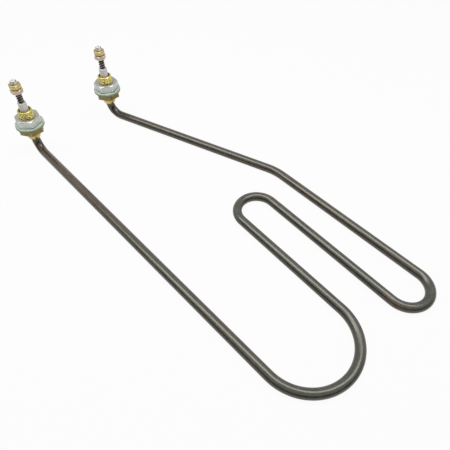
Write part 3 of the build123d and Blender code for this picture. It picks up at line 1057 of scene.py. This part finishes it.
class HEATER_OT_terminal_nuts(bpy.types.Operator):
    """Build the lower and upper nuts of both terminals"""

    bl_idname = "heater.terminal_nuts"
    bl_label = "Terminal Nuts"

    def execute(self, context):
        scene = context.scene
        terminal, colours, at = scene.heater_terminal, scene.heater_finish, stack_heights(scene)
        warm = metal(
            "zinc_plate_warm", colours.zinc_warm, (0.85, 0.78, 0.74), 0.52, (0.2, 0.15, 0.11),
            turned=0.1,
        )
        foot, top = at.upper_nut_foot, at.upper_nut_top
        brass = metal(
            "nut_brass", colours.nut_brass, (0.7, 0.62, 0.5), 0.55, colours.tarnish_and_shade,
            bands=(
                # Painted shadow along the upper nut's foot, where it sits on the lower nut.
                (foot, foot + 0.0013, scaled(colours.nut_brass, 0.3)),
                # Painted shade over the top face and chamfer.
                (top - 0.0011, None, scaled(colours.nut_brass, 0.5)),
            ),
            turned=0.15, worn=0.2,
        )
        bore = terminal.stud_diameter / 2 - PITCH_LINE * NUT_PITCH + PLAY
        kinds = (
            ("lower_nut", at.lower_nut_foot, foot, warm, "zinc_plate_warm", 0.0004),
            ("upper_nut", foot, top, brass, "nut_brass", 0.0009),
        )
        for side in SIDES:
            for kind, low, high, material, slot, ring in kinds:
                put_nut(
                    side, f"hexagon_{kind}", kind, low, high,
                    getattr(terminal, f"{kind}_turn_{side}"), material, slot,
                    across_flats=terminal.nut_across_flats, bore=bore, countersink=0.0004,
                    corner_round=0.0003, ring=ring, ease=0.0001,
                )
        return {"FINISHED"}


class HEATER_OT_inner_pieces(bpy.types.Operator):
    """Give the pieces inside the tube their materials"""

    bl_idname = "heater.inner_pieces"
    bl_label = "Inner Pieces"

    def execute(self, context):
        steel = mottled("plain_steel", (0.5, 0.49, 0.47), 0.35, 1.0)
        silicone = mottled("silicone", (0.45, 0.12, 0.08), 0.6)
        dressed = {
            "insulation": mottled("magnesia", (0.72, 0.7, 0.66), 0.9),
            "resistance_coil": mottled("resistance_alloy", (0.35, 0.33, 0.3), 0.35, 1.0),
        }
        for side in SIDES:
            dressed[f"{side}_cold_pin"] = steel
            dressed[f"{side}_end_seal"] = silicone
        for name, material in dressed.items():
            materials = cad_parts[name].data.materials
            materials.clear()
            materials.append(material)
        return {"FINISHED"}


class HEATER_OT_studio(bpy.types.Operator):
    """Build the floor, the background, the lamp and the camera"""

    bl_idname = "heater.studio"
    bl_label = "Studio"

    def execute(self, context):
        scene = context.scene
        self.build_floor(scene)
        self.build_background(scene)
        self.build_lamp(scene)
        self.build_camera(scene)
        scene.view_settings.view_transform = "Standard"
        return {"FINISHED"}

    def build_floor(self, scene):
        """Pale floor that keeps the shadow; the camera sees it nearly white."""
        half, count, depth, white_share = 3.0, 13, 0.00005, 0.95
        x, y = np.meshgrid(*[np.linspace(-half, half, count)] * 2)
        points = np.stack([x, y, np.full_like(x, -depth)], axis=-1).reshape(-1, 3)
        index = np.arange(count * count).reshape(count, count)
        quads = [index[:-1, :-1], index[:-1, 1:], index[1:, 1:], index[1:, :-1]]
        mesh = bpy.data.meshes.new("studio_floor")
        mesh.from_pydata(points.tolist(), [], np.stack(quads, axis=-1).reshape(-1, 4).tolist())
        floor = bpy.data.objects.new("studio_floor", mesh)
        scene.collection.objects.link(floor)
        coat = Coat("studio_floor")
        mesh.materials.append(
            coat.finished(scene.heater_finish.floor, 0.8, **{"Specular IOR Level": 0.1})
        )
        glow = coat.add("ShaderNodeEmission", {"Strength": 1.0})
        share = coat.product(coat.seen_directly(), white_share)
        mix = coat.add("ShaderNodeMixShader", {0: share, 1: coat.shader.outputs[0], 2: glow})
        coat.feed(coat.tree.nodes["Material Output"].inputs["Surface"], mix)

    def build_background(self, scene):
        """White for the camera, through glass and in reflections, and a plain light otherwise.

        Reflections also show the dim room low down behind the camera: the shade is the product
        of two smooth steps, one of the direction's part towards the camera and one of its height.
        """
        plain_light = 0.26
        world = bpy.data.worlds.new("studio_world")
        world.use_nodes = True
        scene.world = world
        sky = NodeSet(world.node_tree)
        way = sky.add("ShaderNodeTexCoord", {}, "Generated")
        studio = scene.heater_studio
        camera_side = (math.sin(studio.camera_azimuth), -math.cos(studio.camera_azimuth), 0)
        vectors = {0: way, 1: camera_side}
        towards = sky.add("ShaderNodeVectorMath", vectors, "Value", operation="DOT_PRODUCT")
        behind = sky.spread(towards, -0.25, 0.35, 0.0, studio.room_shade)
        low = sky.spread(sky.part(way, "Z"), 0.3, 0.65, 1.0, 0.0)
        reflected = sky.add("ShaderNodeLightPath", {}, "Is Glossy Ray")
        shade = sky.product(sky.product(behind, low), reflected)
        light = sky.spread(sky.seen_directly(), 0.0, 1.0, plain_light, 1.0)
        background = world.node_tree.nodes["Background"]
        sky.feed(background.inputs["Color"], (1.0, 1.0, 1.0))
        sky.feed(background.inputs["Strength"], sky.maths("SUBTRACT", light, shade))

    def build_lamp(self, scene):
        """Long softbox that faces straight down, with its longer side turned by the spin."""
        light = bpy.data.lights.new("strip_softbox", "AREA")
        light.shape = "RECTANGLE"
        light.size, light.size_y = 0.3, 1.3
        light.energy = scene.heater_studio.strip_power
        lamp = bpy.data.objects.new("strip_softbox", light)
        place, spin = Matrix.Translation((-0.02, 0.11, 0.75)), math.radians(45)
        lamp.matrix_world = place @ Matrix.Rotation(spin, 4, "Z")
        scene.collection.objects.link(lamp)

    def build_camera(self, scene):
        """Camera on a line from its target at the given azimuth and elevation, then rolled."""
        studio = scene.heater_studio
        roll = studio.camera_roll
        level = math.cos(studio.camera_elevation)
        away = Vector((
            level * math.sin(studio.camera_azimuth),
            -level * math.cos(studio.camera_azimuth),
            math.sin(studio.camera_elevation),
        ))
        right = (-away).cross(Vector(UP)).normalized()
        upward = right.cross(-away)
        across = math.cos(roll) * right + math.sin(roll) * upward
        over = -math.sin(roll) * right + math.cos(roll) * upward
        turned = Matrix((across, over, away)).transposed().to_4x4()
        target = Vector((studio.target_x, studio.target_y, 0))
        data = bpy.data.cameras.new("camera")
        data.sensor_width = 36
        data.lens = studio.focal_length
        data.clip_start = 0.01
        camera = bpy.data.objects.new("camera", data)
        camera.matrix_world = Matrix.Translation(target + away * studio.camera_distance) @ turned
        scene.collection.objects.link(camera)
        scene.camera = camera


class HEATER_PT_panel(bpy.types.Panel):
    """Sizes, colours and build steps of the heating element"""

    bl_idname = "HEATER_PT_panel"
    bl_label = "Heating Element"
    bl_space_type = "VIEW_3D"
    bl_region_type = "UI"
    bl_category = "Heating Element"

    def draw(self, context):
        for key in GROUPS:
            group = getattr(context.scene, key)
            box = self.layout.box()
            box.label(text=key.removeprefix("heater_").title())
            for name in group.bl_rna.properties.keys():
                if name not in ("rna_type", "name"):
                    box.prop(group, name)
        for operator in OPERATORS:
            self.layout.operator(operator.bl_idname)


GROUPS = {
    "heater_tube": HeaterTube,
    "heater_fitting": HeaterFitting,
    "heater_terminal": HeaterTerminal,
    "heater_finish": HeaterFinish,
    "heater_studio": HeaterStudio,
}
OPERATORS = (
    HEATER_OT_sheath,
    HEATER_OT_fittings,
    HEATER_OT_gaskets,
    HEATER_OT_lock_nuts,
    HEATER_OT_insulators,
    HEATER_OT_studs,
    HEATER_OT_terminal_nuts,
    HEATER_OT_inner_pieces,
    HEATER_OT_studio,
)
CLASSES = (*GROUPS.values(), *OPERATORS, HEATER_PT_panel)


def register():
    for kind in CLASSES:
        bpy.utils.register_class(kind)
    for name, group in GROUPS.items():
        setattr(bpy.types.Scene, name, PointerProperty(type=group))


def unregister():
    for name in GROUPS:
        delattr(bpy.types.Scene, name)
    for kind in reversed(CLASSES):
        bpy.utils.unregister_class(kind)


def main():
    register()
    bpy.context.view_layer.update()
    bpy.ops.heater.sheath()
    bpy.ops.heater.fittings()
    bpy.ops.heater.gaskets()
    bpy.ops.heater.lock_nuts()
    bpy.ops.heater.insulators()
    bpy.ops.heater.studs()
    bpy.ops.heater.terminal_nuts()
    bpy.ops.heater.inner_pieces()
    bpy.ops.heater.studio()


if __name__ == "__main__":
    main()
